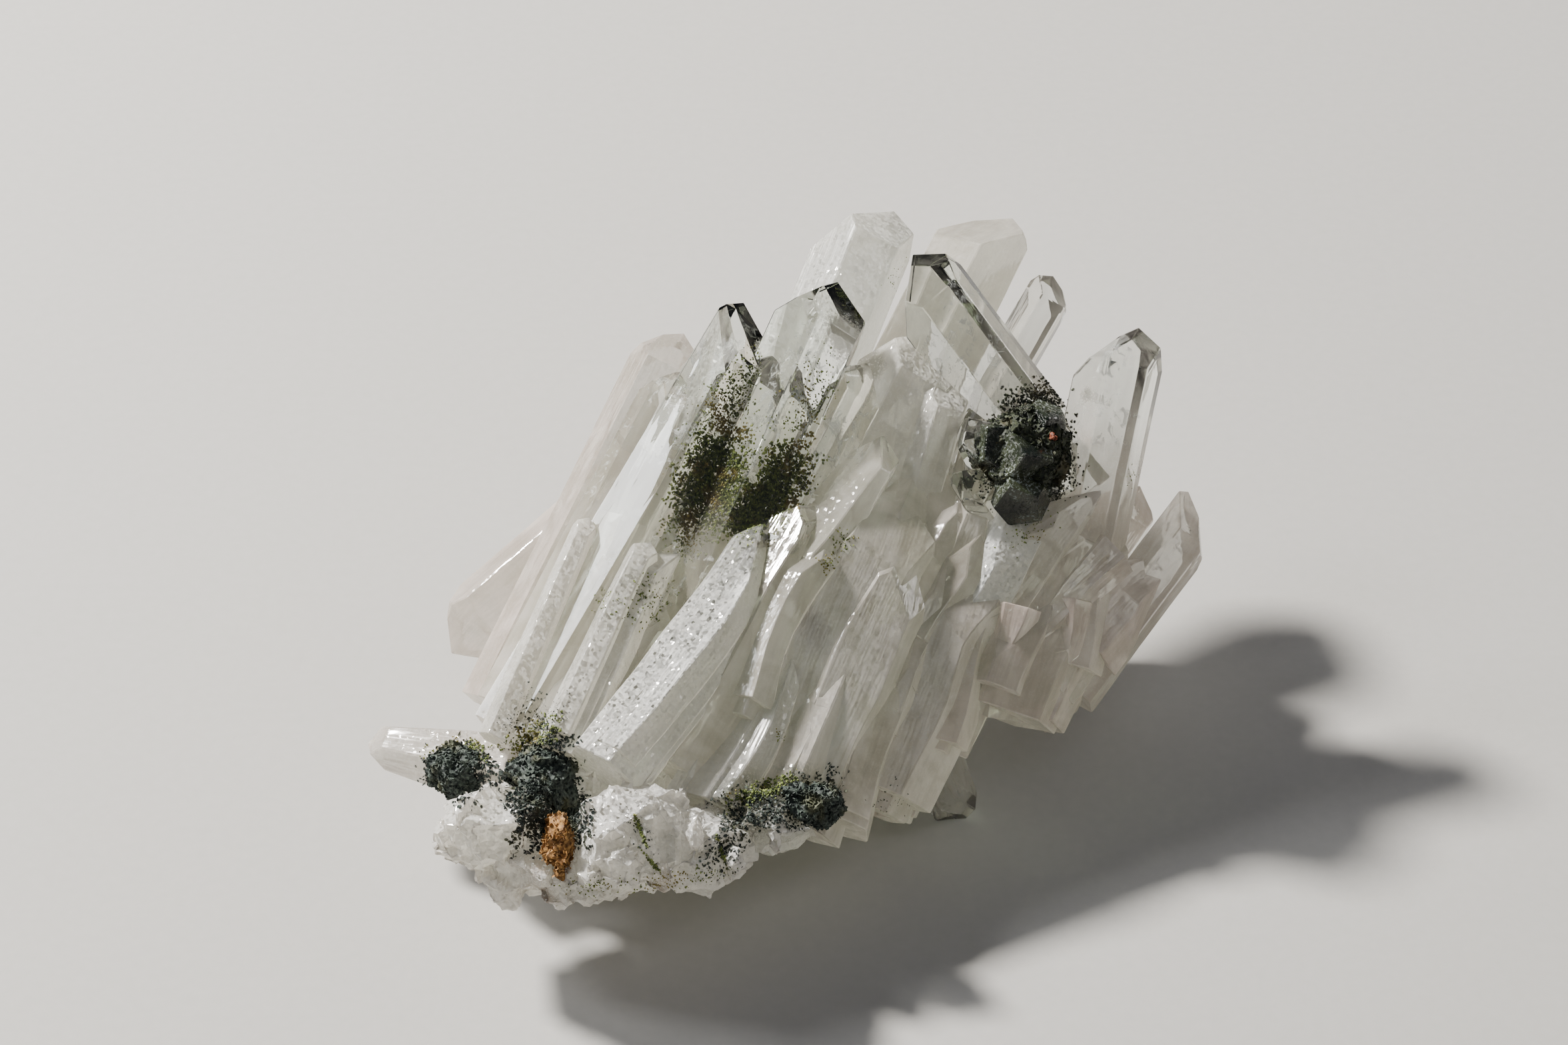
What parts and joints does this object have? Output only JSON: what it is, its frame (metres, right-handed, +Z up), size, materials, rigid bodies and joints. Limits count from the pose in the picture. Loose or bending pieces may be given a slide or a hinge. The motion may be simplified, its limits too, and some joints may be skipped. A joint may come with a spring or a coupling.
{
  "type": "himalayan quartz crystal cluster",
  "caption": "Cluster of clear and milky quartz points fanning out of a broken root, with tufts of green chlorite, lying on its back crystals.",
  "frame": {"origin": "on the surface the cluster lies on, below the centre of its bounding box", "axes": "+Z up, +X along the cluster's long side towards the lone point that stands off to the right, +Y away from the broken root, towards the tall points; seen from -Y as in the picture"},
  "size_m": [0.0766, 0.0708, 0.0437],
  "materials": {
    "quartz": "clear points over a milky root",
    "chlorite": "matt and granular",
    "iron_stain": "matt and earthy"
  },
  "bodies": {
    "root": {"quartz_cluster": "quartz", "chlorite_left": "chlorite", "chlorite_root": "chlorite", "chlorite_rim": "chlorite", "chlorite_nest": "chlorite", "iron_crust": "iron_stain"}
  },
  "joints": []
}
